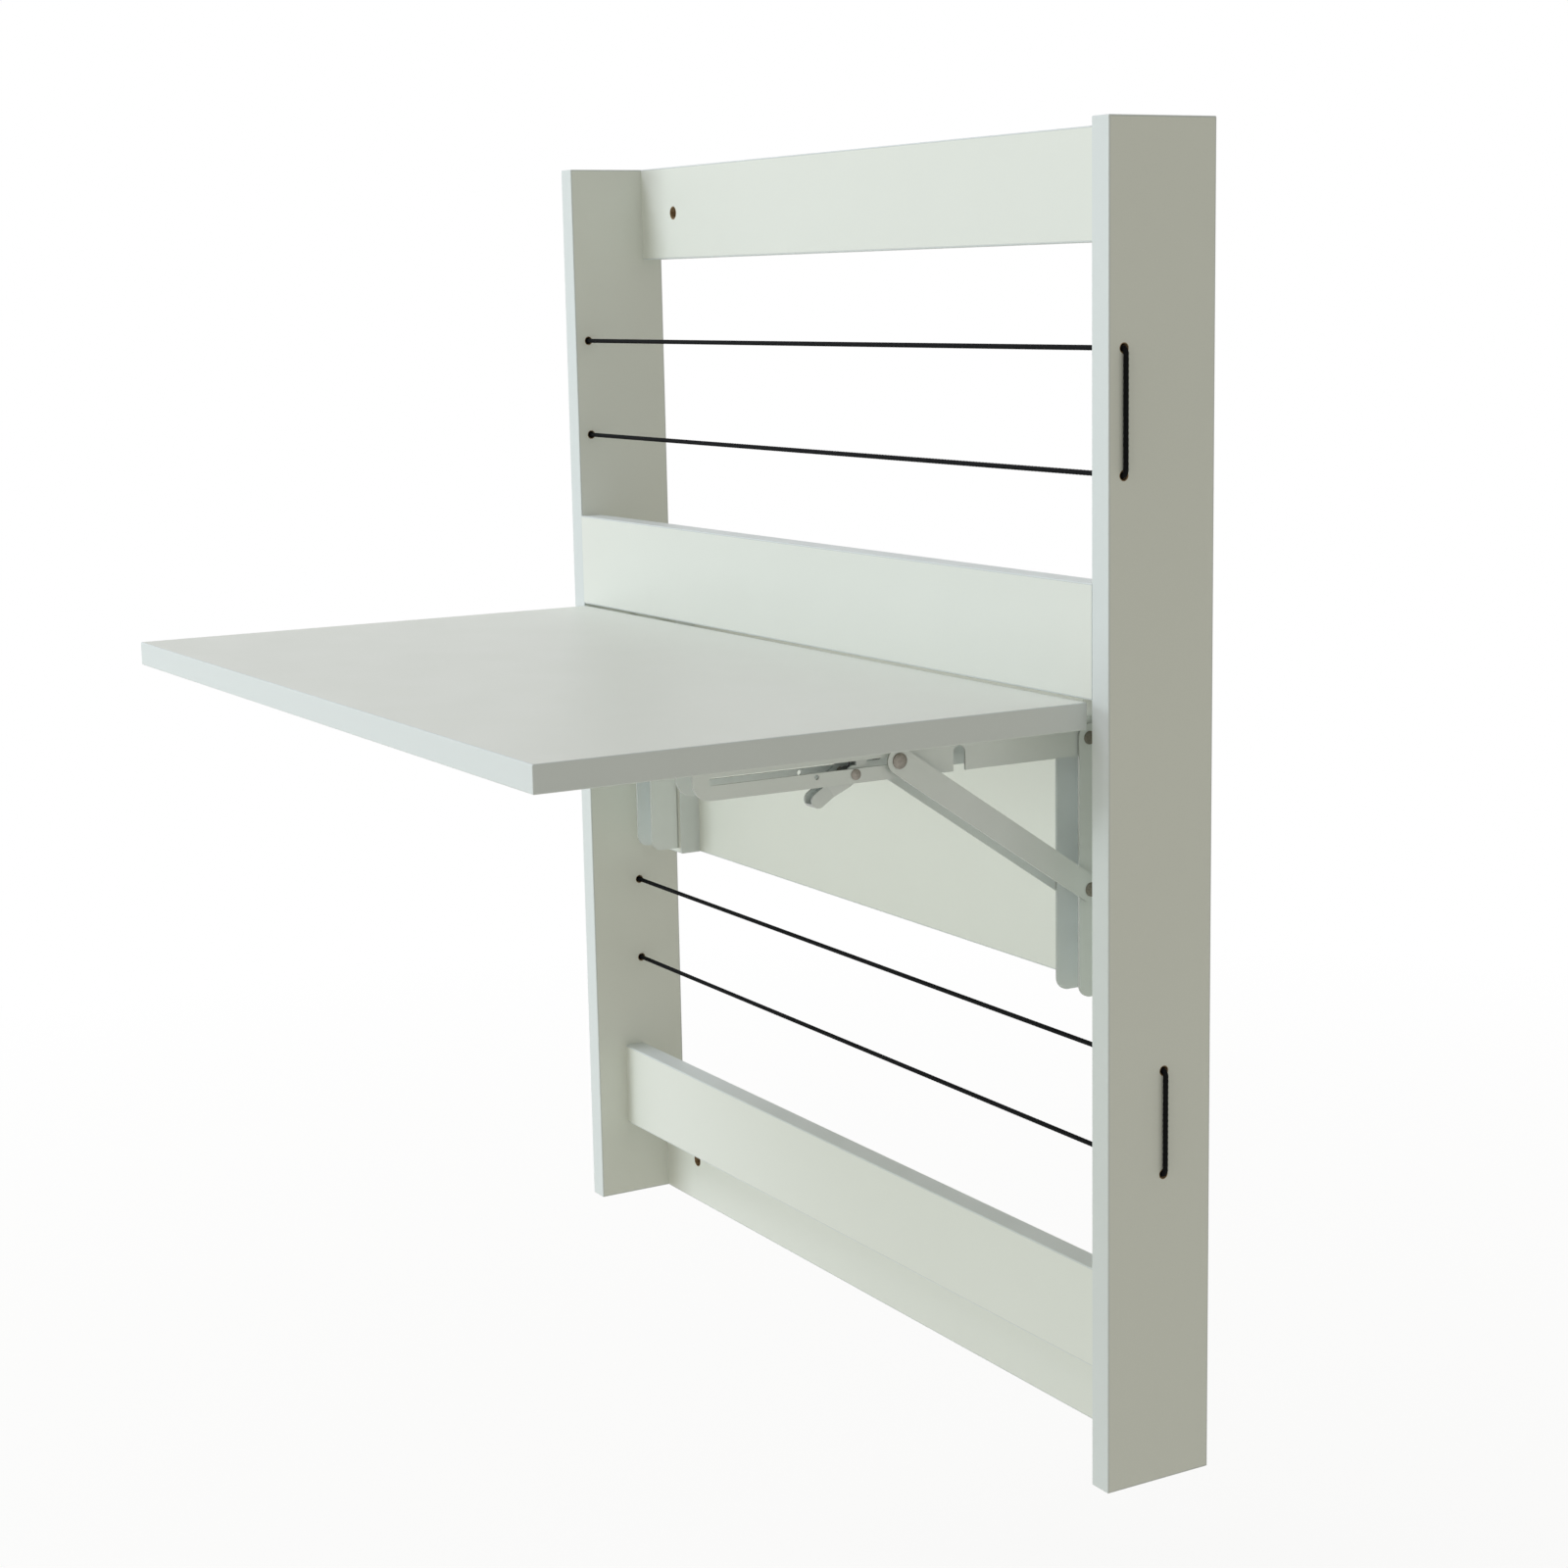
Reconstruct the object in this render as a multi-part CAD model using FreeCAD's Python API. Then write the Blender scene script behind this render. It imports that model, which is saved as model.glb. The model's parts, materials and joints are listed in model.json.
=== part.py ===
import FreeCAD, Part
import math
import os

os.makedirs("parts", exist_ok=True)

# Wall mounted drop leaf table. Millimetres, +Z up, +X to the right, the wall is the
# plane y = 0 and the frame looks towards -Y. The origin is the centre of the four wall
# screws, which is also the middle of the frame's height and width. The leaf is modelled
# up, its rest position; it folds down between the uprights.

# ---- Boards -----------------------------------------------------------------------
frame_height = 800.0        # uprights, top to bottom
frame_width = 680.0         # outside to outside of the uprights
board = 16.0                # thickness of every board
strip_width = 67.0          # top, middle and bottom rails, and the battens
edge_round = 0.8            # eased edges of the edge banding
table_height = 473.5        # top face of the leaf above the frame's bottom
leaf_reach = 350.0          # leaf's rear edge to its front edge, all in front of the uprights
leaf_side_gap = 4.0         # leaf to upright, each side
rail_to_leaf = 1.5          # gap between the leaf's top face and the middle rail
panel_height = 190.0        # back panel behind the brackets
low_rail_rise = 58.5        # underside of the front low rail above the frame's bottom
low_rail_height = 63.0
fold_gap = 8.0              # folded leaf to front low rail

# ---- Wall screws ------------------------------------------------------------------
wall_hole_radius = 4.5
wall_hole_inset = 50.0      # from the upright's inner face

# ---- Elastic cords ----------------------------------------------------------------
cord_radius = 1.6
cord_hole_radius = 2.8
cord_bend_radius = 3.4      # at the holes of the right upright
cord_lift = 0.2             # cord clear of the upright's outer face
upper_cord_setback = 10.6   # behind the front edges
upper_cord_rise = 0.75      # middle of its two runs above the middle of its bay
upper_cord_spacing = 70.5
lower_cord_from_wall = 34.5
lower_cord_drop = 31.0      # upper run below the back panel
lower_cord_spacing = 63.0
knot_radius = 4.3
knot_length = 7.0
knot_neck_radius = 3.4      # knot against the upright
knot_end_radius = 2.6
knot_tail = 12.0

# ---- Folding brackets -------------------------------------------------------------
sheet = 1.5                 # pressed steel sheet
bend_radius = 1.8           # outside of the channels' bends
bracket_inset = 51.0        # bracket centre from the upright's inner face
hinge_to_leaf = 11.5        # hinge axis below the leaf's underside
hinge_to_batten = 15.5      # hinge axis in front of the batten
leg_width = 24.0
leg_above_hinge = 8.5
leg_below_hinge = 157.0
leg_lip = 7.5               # flange in front of the hinge axis
leg_corner_radius = 8.0
arm_play = 0.3              # arm flange to leg flange, each side
arm_below_pivots = 10.5     # arm flange below the line of the pivots
arm_behind_hinge = 10.5     # arm's rear end behind the hinge axis
arm_rear_radius = 10.4
arm_end_margin = 12.0       # arm beyond the end of its slot
arm_end_radius = 12.0
strut_drop = 91.0           # strut's lower pivot below the hinge
strut_foot = 134.0          # strut's upper pivot from the hinge, leaf up
strut_width = 15.5
strut_play = 0.3            # strut bar to leg flange
pivot_radius = 3.0          # hinge pin and strut pin
slot_rivet_radius = 2.0
slot_clearance = 0.2
notch_clearance = 1.2       # arm notch round the strut pin
running_fit = 0.05          # radial, pins that something turns on
snug_fit = 0.03             # radial, pins, dowels and fittings that sit tight
pin_end_play = 0.1          # rivet head to the sheet that turns under it
rivet_recess = 0.6          # slot rivet's clinched end to the lever rivet's head

# ---- Release lever ----------------------------------------------------------------
lever_sheet = 1.2
lever_play = 0.5            # lever flange to arm flange
lever_margin = 0.9          # lever rivet's head beyond the leg's lower end, leaf folded
lever_pivot_drop = 5.5      # lever pivot below the line of the pivots
lever_hub_radius = 5.0
lever_tip_along = 21.0      # tip centre from the lever pivot, along the arm
lever_tip_down = 13.5       # tip centre below the lever pivot
lever_tip_radius = 4.5
lever_tip_half = 4.5        # half the lever's width at its pinched tip
lever_pinch_start = 6.0     # the sides close in from here, along the lever from its pivot
lever_pinch_end = 16.0      # and run straight again from here
lever_rivet_radius = 2.0
catch_width = 7.0           # catch nose that stands behind the slot
catch_rise = 10.0           # nose above the lever pivot
catch_offset = 5.1          # nose centre from the lever pivot, towards the hinge
catch_radius = 2.0
catch_root = 1.0            # nose starts this far below the lever pivot
stop_hole_along = 25.5      # small hole in the arm beyond the lever pivot
stop_hole_drop = 4.4
stop_hole_radius = 1.5
spring_wire = 1.2
spring_turns = 4
spring_overlap = 0.024      # neighbouring turns press into each other
spring_gap = 0.1            # spring's upper leg to the arm's web
spring_foot = 14.0          # spring's lower leg, along the lever

# ---- Fittings and fasteners -------------------------------------------------------
dowel_radius = 4.0
dowel_length = 30.0
dowel_in_upright = 11.0
dowel_offset = 22.0         # from the middle of a rail
dowel_chamfer = 0.8
cam_radius = 7.5
cam_depth = 12.5
cam_from_end = 24.0
cam_bolt_radius = 2.5
cam_thread_radius = 3.0
cam_thread_length = 11.0
cam_collar_radius = 4.0
cam_collar_length = 1.5
cam_head_radius = 3.5
cam_head_length = 3.0
panel_cam_offset = 60.0     # cams above and below the panel's middle
head_radius = 3.6           # bracket screws
head_height = 2.3
head_crown_radius = 2.2     # flat top of the pan head
head_shoulder = 0.9         # straight rim of the pan head
shank_radius = 1.75
shank_length = 13.0
socket_radius = 1.2
socket_depth = 1.3
socket_slot_half = 0.3      # half the width of one bar of the cross
batten_screw_length = 28.0
batten_screw_inset = 15.0   # from the panel's top and bottom edges
countersink_radius = 4.0
leg_screws_below_hinge = (24.0, 62.0)
leg_screw_above_end = 29.0
arm_screws_from_hinge = (42.0, 74.0)
arm_screws_from_end = (55.0, 20.0)
hinge_head_radius = 4.0
hinge_head_height = 1.3
strut_head_radius = 4.3
strut_head_height = 1.5
slot_head_radius = 4.6
slot_head_height = 1.6
clinch_radius = 3.0
clinch_chamfer = 0.2
lever_head_radius = 3.1
lever_head_height = 1.2
shoulder_share = 0.4        # straight rim of a rivet head, of the head's height

# ---- Making ---------------------------------------------------------------------------
overshoot = 1.0             # cutting shapes reach this far past the faces they cut
same_place = 0.01           # two places nearer than this are one
corner_limit = 0.49         # most of a side that one rounded corner takes

# ---- Places worked out from the sizes above -----------------------------------------
bottom = -frame_height / 2
top = frame_height / 2
inner = frame_width / 2 - board                 # half the space between the uprights
depth = board + hinge_to_leaf + hinge_to_batten + 2 * board
front = -depth
leaf_top = bottom + table_height
leaf_under = leaf_top - board
hinge_y = front + board + hinge_to_leaf         # the folded leaf lies flush with the front
hinge_z = leaf_under - hinge_to_leaf
batten_face = -2 * board
panel_top = leaf_top + rail_to_leaf
panel_bottom = panel_top - panel_height
panel_middle = (panel_top + panel_bottom) / 2
middle_rail_bottom = leaf_top + rail_to_leaf
low_rail_front = front + board + fold_gap
low_rail_bottom = bottom + low_rail_rise
upper_cord_y = front + upper_cord_setback
upper_bay_middle = (top - strip_width + middle_rail_bottom + strip_width) / 2
upper_cord_z = upper_bay_middle + upper_cord_rise + upper_cord_spacing / 2
lower_cord_y = -lower_cord_from_wall
lower_cord_z = panel_bottom - lower_cord_drop
bracket_x = inner - bracket_inset
batten_x = inner - strip_width / 2
batten_screw_heights = (panel_bottom + batten_screw_inset, panel_top - batten_screw_inset)

leg_half = leg_width / 2
arm_half = leg_half - sheet - arm_play
bar_inside = leg_half + strut_play
bar_outside = bar_inside + sheet
lever_half = arm_half - sheet - lever_play
strut_length = math.hypot(strut_drop, strut_foot)
slot_start = strut_foot
slot_end = strut_drop + strut_length
arm_length = slot_end + arm_end_margin
lever_along = leg_below_hinge + lever_head_radius + lever_margin
strut_pin_z = hinge_z - strut_drop
leg_screw_spots = leg_screws_below_hinge + (leg_below_hinge - leg_screw_above_end,)
arm_screw_spots = arm_screws_from_hinge + tuple(arm_length - back for back in arm_screws_from_end)
sides = (("left", -1), ("right", 1))
into_wall = FreeCAD.Vector(0, 1, 0)
upwards = FreeCAD.Vector(0, 0, 1)


# ---- Helpers ------------------------------------------------------------------------
def vec(x, y, z):
    return FreeCAD.Vector(x, y, z)


def box(x0, x1, y0, y1, z0, z1):
    return Part.makeBox(x1 - x0, y1 - y0, z1 - z0, vec(x0, y0, z0))


def rod_x(radius, x0, x1, y, z):
    """Cylinder along X."""
    return Part.makeCylinder(radius, x1 - x0, vec(x0, y, z), vec(1, 0, 0))


def rod_y(radius, x, y0, y1, z):
    """Cylinder along Y."""
    return Part.makeCylinder(radius, y1 - y0, vec(x, y0, z), vec(0, 1, 0))


def rod_z(radius, x, y, z0, z1):
    """Cylinder along Z."""
    return Part.makeCylinder(radius, z1 - z0, vec(x, y, z0), vec(0, 0, 1))


def square_to(axis):
    """A direction square to an axis that lies along X, Y or Z."""
    return vec(axis.y, axis.z, axis.x)


def spin(points, centre, axis):
    """Solid of revolution: points are (distance from the centre along the axis, radius)."""
    out = square_to(axis)
    line = [centre + axis * along + out * radius for along, radius in points]
    return Part.Face(Part.makePolygon(line + [line[0]])).revolve(centre, axis, 360)


def rounded_slab(corners, x0, x1):
    """Flat plate between x0 and x1: corners are (y, z, corner radius) in order.

    A corner's radius is limited by the shorter of the two sides that it joins.
    """
    count = len(corners)
    starts, ends, middles = [], [], []
    for index, (y, z, radius) in enumerate(corners):
        here = vec(x0, y, z)
        before = vec(x0, corners[index - 1][0], corners[index - 1][1]) - here
        after = vec(x0, corners[(index + 1) % count][0], corners[(index + 1) % count][1]) - here
        shorter = min(before.Length, after.Length)
        before.normalize()
        after.normalize()
        half = before.getAngle(after) / 2
        reach = min(radius / math.tan(half), corner_limit * shorter)
        radius = reach * math.tan(half)
        bisector = (before + after).normalize()
        starts.append(here + before * reach)
        ends.append(here + after * reach)
        middles.append(here + bisector * (radius / math.sin(half) - radius))
    edges = []
    for index in range(count):
        if corners[index][2] > 0:
            edges.append(Part.Arc(starts[index], middles[index], ends[index]).toShape())
        following = starts[(index + 1) % count]
        if ends[index].distanceToPoint(following) > same_place:
            edges.append(Part.LineSegment(ends[index], following).toShape())
    return Part.Face(Part.Wire(edges)).extrude(vec(x1 - x0, 0, 0))


def stadium(y0, z0, y1, z1, radius, x0, x1):
    """Bar with round ends between two points of the YZ plane."""
    along = vec(0, y1 - y0, z1 - z0)
    along.normalize()
    side = vec(0, -along.z, along.y) * radius
    first, second = vec(x0, y0, z0), vec(x0, y1, z1)
    edges = [
        Part.LineSegment(first + side, second + side).toShape(),
        Part.Arc(second + side, second + along * radius, second - side).toShape(),
        Part.LineSegment(second - side, first - side).toShape(),
        Part.Arc(first - side, first - along * radius, first + side).toShape(),
    ]
    return Part.Face(Part.Wire(edges)).extrude(vec(x1 - x0, 0, 0))


def round_bends(block, is_bend):
    """Block of a channel with the outside of its two bends rounded."""
    return block.makeFillet(bend_radius, [edge for edge in block.Edges if is_bend(edge)])


def along_x(edge):
    return edge.BoundBox.XLength > same_place


def eased_rail(x0, x1, y0, y1, z0, z1):
    """Rail with its four long edges eased; the butted ends stay sharp."""
    rail = box(x0, x1, y0, y1, z0, z1)
    return rail.makeFillet(edge_round, [edge for edge in rail.Edges if along_x(edge)])


def eased_board(x0, x1, y0, y1, z0, z1):
    """Board with all its edges eased."""
    plank = box(x0, x1, y0, y1, z0, z1)
    return plank.makeFillet(edge_round, plank.Edges)


def arm_point(along, below):
    """Place on the arm with the leaf up: along the arm from the hinge, below its pivots."""
    return hinge_y - along, hinge_z - below


def write(name, solids):
    solids = solids if isinstance(solids, list) else [solids]
    for solid in solids:
        if not solid.isValid():
            raise ValueError("invalid solid in " + name)
    shape = solids[0] if len(solids) == 1 else Part.makeCompound(solids)
    shape.exportStep("parts/" + name + ".step")
    print(name, "solids", len(shape.Solids), "volume", round(shape.Volume, 1))


# ---- Joints between rails and uprights ----------------------------------------------
def rail_fittings():
    """Per board: y of its middle, y of its hidden face, heights of its cams and dowels."""
    places = {}
    strips = (
        ("top_rail", -board, top - strip_width / 2),
        ("middle_rail", front, middle_rail_bottom + strip_width / 2),
        ("front_low_rail", low_rail_front, low_rail_bottom + low_rail_height / 2),
        ("bottom_rail", -board, bottom + strip_width / 2),
    )
    for name, face, z in strips:
        places[name] = (face + board / 2, face + board, (z,), (z - dowel_offset, z + dowel_offset))
    panel_cams = (panel_middle - panel_cam_offset, panel_middle + panel_cam_offset)
    places["back_panel"] = (-board / 2, 0.0, panel_cams, (panel_middle,))
    return places


def dowel(side, y, z, play=0.0):
    start = inner + dowel_in_upright + play
    length = dowel_length + 2 * play
    radius = dowel_radius + play
    points = ((0, 0), (0, radius - dowel_chamfer), (dowel_chamfer, radius),
              (length - dowel_chamfer, radius), (length, radius - dowel_chamfer), (length, 0))
    return spin(points, vec(side * start, y, z), vec(-side, 0, 0))


def cam_bolt(side, y, z, play=0.0):
    """Threaded end in the upright, stem along the rail, ball head inside the cam."""
    head_end = cam_from_end + cam_head_length / 2
    points = (
        (-cam_thread_length - play, 0),
        (-cam_thread_length - play, cam_thread_radius + play),
        (0, cam_thread_radius + play),
        (0, cam_collar_radius + play),
        (cam_collar_length + play, cam_collar_radius + play),
        (cam_collar_length + play, cam_bolt_radius + play),
        (head_end - cam_head_length - play, cam_bolt_radius + play),
        (head_end - cam_head_length - play, cam_head_radius + play),
        (head_end + play, cam_head_radius + play),
        (head_end + play, 0),
    )
    return spin(points, vec(side * inner, y, z), vec(-side, 0, 0))


def cam_disc(side, y, hidden, z):
    """Cam turned in from the hidden face, with its cross recess and the room for the bolt."""
    x = side * (inner - cam_from_end)
    disc = rod_y(cam_radius - snug_fit, x, hidden - cam_depth + snug_fit, hidden, z)
    for width, height in ((cam_radius, socket_radius), (socket_radius, cam_radius)):
        disc = disc.cut(box(x - width / 2, x + width / 2, hidden - socket_depth, hidden + overshoot,
                            z - height / 2, z + height / 2))
    return disc.cut(cam_bolt(side, y, z, 2 * snug_fit))


def drilled_rail(piece, name):
    """Rail or panel with the holes of the fittings in both its ends."""
    y, hidden, cams, dowels = rail_fittings()[name]
    for _, side in sides:
        for z in dowels:
            piece = piece.cut(dowel(side, y, z, snug_fit))
        for z in cams:
            piece = piece.cut(cam_bolt(side, y, z, snug_fit))
            x = side * (inner - cam_from_end)
            piece = piece.cut(rod_y(cam_radius, x, hidden - cam_depth, hidden + overshoot, z))
    return piece


def drilled_upright(piece, side):
    """Upright with the holes of the fittings of every rail."""
    for y, _, cams, dowels in rail_fittings().values():
        for z in dowels:
            piece = piece.cut(dowel(side, y, z, snug_fit))
        for z in cams:
            piece = piece.cut(cam_bolt(side, y, z, snug_fit))
    return piece


def fittings():
    dowels, bolts, discs = [], [], []
    for y, hidden, cams, dowel_heights in rail_fittings().values():
        for _, side in sides:
            dowels += [dowel(side, y, z) for z in dowel_heights]
            bolts += [cam_bolt(side, y, z) for z in cams]
            discs += [cam_disc(side, y, hidden, z) for z in cams]
    write("rail_dowels", dowels)
    write("cam_bolts", bolts)
    write("cam_discs", discs)


# ---- Wooden frame -------------------------------------------------------------------
def cord_places():
    """Per cord: its distance from the wall, its upper run and the space to its lower run."""
    return (
        (upper_cord_y, upper_cord_z, upper_cord_spacing),
        (lower_cord_y, lower_cord_z, lower_cord_spacing),
    )


def upright(side):
    x0, x1 = sorted((side * inner, side * (inner + board)))
    plank = eased_board(x0, x1, front, 0, bottom, top)
    for y, z, spacing in cord_places():
        for height in (z, z - spacing):
            plank = plank.cut(rod_x(cord_hole_radius, x0 - overshoot, x1 + overshoot, y, height))
    return drilled_upright(plank, side)


def wall_rail(name, z0):
    """Rail on the wall plane with a wall-screw hole near each end."""
    rail = eased_rail(-inner, inner, -board, 0, z0, z0 + strip_width)
    for _, side in sides:
        x = side * (inner - wall_hole_inset)
        rail = rail.cut(rod_y(wall_hole_radius, x, -board - overshoot, overshoot, z0 + strip_width / 2))
    return drilled_rail(rail, name)


def batten(side):
    """Flat board on the panel's face, against the upright, that the bracket is screwed on."""
    x0, x1 = sorted((side * inner, side * (inner - strip_width)))
    strip = box(x0, x1, batten_face, -board, panel_bottom, panel_top)
    free_edges = [edge for edge in strip.Edges
                  if abs(edge.CenterOfMass.y - batten_face) < same_place
                  and abs(edge.CenterOfMass.x - side * inner) > same_place]
    strip = strip.makeFillet(edge_round, free_edges)
    return strip.cut(batten_screw_set(side, snug_fit)).cut(leg_screw_set(side, snug_fit))


def wooden_frame():
    for name, side in sides:
        write(name + "_upright", upright(side))
        write(name + "_batten", batten(side))
    write("top_rail", wall_rail("top_rail", top - strip_width))
    write("bottom_rail", wall_rail("bottom_rail", bottom))
    middle = eased_rail(-inner, inner, front, front + board, middle_rail_bottom,
                        middle_rail_bottom + strip_width)
    write("middle_rail", drilled_rail(middle, "middle_rail"))
    low = eased_rail(-inner, inner, low_rail_front, low_rail_front + board, low_rail_bottom,
                     low_rail_bottom + low_rail_height)
    write("front_low_rail", drilled_rail(low, "front_low_rail"))
    panel = drilled_rail(eased_rail(-inner, inner, -board, 0, panel_bottom, panel_top), "back_panel")
    for _, side in sides:
        panel = panel.cut(batten_screw_set(side, snug_fit))
    write("back_panel", panel)


# ---- Screws -------------------------------------------------------------------------
def pan_screw(seat, inward, play=0.0):
    """Pan head screw: seat is the middle of the face under its head."""
    points = (
        (-head_height - play, 0),
        (-head_height - play, head_crown_radius + play),
        (-head_shoulder, head_radius + play),
        (0, head_radius + play),
        (0, shank_radius + play),
        (shank_length + play, shank_radius + play),
        (shank_length + shank_radius + play, 0),
    )
    return spin(points, seat, inward)


def cross_socket(head_top, inward):
    """Cross recess that is cut into a screw's head."""
    first = square_to(inward)
    second = inward.cross(first)
    start = head_top - inward * overshoot
    bars = []
    for long_way, short_way in ((first, second), (second, first)):
        along, across = long_way * socket_radius, short_way * socket_slot_half
        outline = [start + along + across, start - along + across, start - along - across,
                   start + along - across, start + along + across]
        bars.append(Part.Face(Part.makePolygon(outline)).extrude(inward * (overshoot + socket_depth)))
    return bars[0].fuse(bars[1])


def leg_screw_seats(side):
    return [vec(side * bracket_x, batten_face - sheet, hinge_z - spot) for spot in leg_screw_spots]


def arm_screw_seats(side):
    return [vec(side * bracket_x, hinge_y - spot, leaf_under - sheet) for spot in arm_screw_spots]


def leg_screw_set(side, play=0.0):
    return Part.makeCompound([pan_screw(seat, into_wall, play) for seat in leg_screw_seats(side)])


def batten_screw(x, z, play=0.0):
    """Countersunk screw from the panel's back into the batten."""
    points = (
        (0, 0),
        (0, countersink_radius + play),
        (countersink_radius - shank_radius, shank_radius + play),
        (batten_screw_length - shank_radius + play, shank_radius + play),
        (batten_screw_length + play, 0),
    )
    return spin(points, vec(x, 0, z), -into_wall)


def batten_screw_set(side, play=0.0):
    return Part.makeCompound([batten_screw(side * batten_x, z, play) for z in batten_screw_heights])


def screws():
    leg_screws, arm_screws, batten_screws = [], [], []
    for _, side in sides:
        for seat in leg_screw_seats(side):
            screw = pan_screw(seat, into_wall)
            leg_screws.append(screw.cut(cross_socket(seat - into_wall * head_height, into_wall)))
        for seat in arm_screw_seats(side):
            screw = pan_screw(seat, upwards)
            arm_screws.append(screw.cut(cross_socket(seat - upwards * head_height, upwards)))
        for z in batten_screw_heights:
            screw = batten_screw(side * batten_x, z)
            batten_screws.append(screw.cut(cross_socket(vec(side * batten_x, 0, z), -into_wall)))
    write("leg_screws", leg_screws)
    write("arm_screws", arm_screws)
    write("batten_screws", batten_screws)


# ---- Leaf and brackets --------------------------------------------------------------
def leaf():
    half = inner - leaf_side_gap
    plank = eased_board(-half, half, front - leaf_reach, front, leaf_under, leaf_top)
    for _, side in sides:
        for spot in arm_screw_spots:
            top_of_hole = leaf_under - sheet + shank_length + shank_radius + snug_fit
            plank = plank.cut(rod_z(shank_radius + snug_fit, side * bracket_x, hinge_y - spot,
                                    leaf_under - overshoot, top_of_hole))
    write("leaf", plank)


def leg_channel(side):
    """Channel with its web on the batten; the flanges carry the hinge and the strut."""
    x = side * bracket_x
    corners = (
        (hinge_y - leg_lip, hinge_z + leg_above_hinge, leg_lip),
        (batten_face, hinge_z + leg_above_hinge, 0),
        (batten_face, hinge_z - leg_below_hinge, 0),
        (hinge_y - leg_lip, hinge_z - leg_below_hinge, leg_corner_radius),
    )
    leg = rounded_slab(corners, x - leg_half, x + leg_half)
    block = box(x - leg_half, x + leg_half, hinge_y - leg_lip - overshoot, batten_face,
                hinge_z - leg_below_hinge - overshoot, hinge_z + leg_above_hinge + overshoot)
    leg = leg.common(round_bends(block, lambda edge: edge.BoundBox.ZLength > same_place
                                 and abs(edge.CenterOfMass.y - batten_face) < same_place))
    inside = leg_half - sheet
    leg = leg.cut(box(x - inside, x + inside, hinge_y - leg_lip - overshoot, batten_face - sheet,
                      hinge_z - leg_below_hinge - overshoot, hinge_z + leg_above_hinge + overshoot))
    for z in (hinge_z, strut_pin_z):
        leg = leg.cut(rod_x(pivot_radius + snug_fit, x - leg_half - overshoot, x + leg_half + overshoot,
                            hinge_y, z))
    for seat in leg_screw_seats(side):
        leg = leg.cut(rod_y(shank_radius + snug_fit, x, seat.y - overshoot, batten_face + overshoot, seat.z))
    return leg


def arm_channel(side):
    """Channel under the leaf: long slot, notch over the strut pin, rounded far end."""
    x = side * bracket_x
    rear_y = hinge_y + arm_behind_hinge
    far_y, under_z = arm_point(arm_length, arm_below_pivots)
    corners = (
        (far_y, leaf_under, sheet),
        (rear_y, leaf_under, arm_rear_radius),
        (rear_y, under_z, arm_rear_radius),
        (far_y, under_z, arm_end_radius),
    )
    arm = rounded_slab(corners, x - arm_half, x + arm_half)
    block = box(x - arm_half, x + arm_half, far_y - overshoot, rear_y + overshoot,
                under_z - overshoot, leaf_under)
    arm = arm.common(round_bends(block, lambda edge: edge.BoundBox.YLength > same_place
                                 and abs(edge.CenterOfMass.z - leaf_under) < same_place))
    inside = arm_half - sheet
    arm = arm.cut(box(x - inside, x + inside, far_y - overshoot, rear_y + overshoot,
                      under_z - overshoot, leaf_under - sheet))
    wide0, wide1 = x - arm_half - overshoot, x + arm_half + overshoot
    arm = arm.cut(rod_x(pivot_radius + running_fit, wide0, wide1, hinge_y, hinge_z))
    notch = pivot_radius + notch_clearance
    notch_y = hinge_y - strut_drop
    arm = arm.cut(rod_x(notch, wide0, wide1, notch_y, hinge_z))
    arm = arm.cut(box(wide0, wide1, notch_y - notch, notch_y + notch, under_z - overshoot, hinge_z))
    start_y, line_z = arm_point(slot_start, 0)
    end_y, _ = arm_point(slot_end, 0)
    arm = arm.cut(stadium(start_y, line_z, end_y, line_z, slot_rivet_radius + slot_clearance, wide0, wide1))
    pivot_y, pivot_z = arm_point(lever_along, lever_pivot_drop)
    arm = arm.cut(rod_x(lever_rivet_radius + snug_fit, wide0, wide1, pivot_y, pivot_z))
    hole_y, hole_z = arm_point(lever_along + stop_hole_along, stop_hole_drop)
    arm = arm.cut(rod_x(stop_hole_radius, wide0, wide1, hole_y, hole_z))
    for seat in arm_screw_seats(side):
        arm = arm.cut(rod_z(shank_radius + snug_fit, x, seat.y, seat.z - overshoot, leaf_under + overshoot))
    return arm


def strut_bars(side):
    """The pair of flat bars, outside the leg and the arm."""
    x = side * bracket_x
    foot_y, foot_z = arm_point(strut_foot, 0)
    bars = []
    for near, far in ((-bar_outside, -bar_inside), (bar_inside, bar_outside)):
        bar = stadium(hinge_y, strut_pin_z, foot_y, foot_z, strut_width / 2, x + near, x + far)
        wide0, wide1 = x + near - overshoot, x + far + overshoot
        bar = bar.cut(rod_x(pivot_radius + running_fit, wide0, wide1, hinge_y, strut_pin_z))
        bar = bar.cut(rod_x(slot_rivet_radius + snug_fit, wide0, wide1, foot_y, foot_z))
        bars.append(bar)
    return bars


def domed_head(seat, outward, radius, rise):
    """Rivet head on its seat: a short straight rim, then one arc up to the crown."""
    rim = rise * shoulder_share
    dome = rise - rim
    ball_radius = (radius ** 2 + dome ** 2) / (2 * dome)
    half_turn = math.asin(radius / ball_radius) / 2
    out = square_to(outward)
    rim_foot = seat + out * radius
    rim_edge = rim_foot + outward * rim
    halfway = (seat + out * (ball_radius * math.sin(half_turn))
               + outward * (rise - ball_radius * (1 - math.cos(half_turn))))
    crown = seat + outward * rise
    edges = [
        Part.LineSegment(seat, rim_foot).toShape(),
        Part.LineSegment(rim_foot, rim_edge).toShape(),
        Part.Arc(rim_edge, halfway, crown).toShape(),
        Part.LineSegment(crown, seat).toShape(),
    ]
    return Part.Face(Part.Wire(edges)).revolve(seat, outward, 360)


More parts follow.
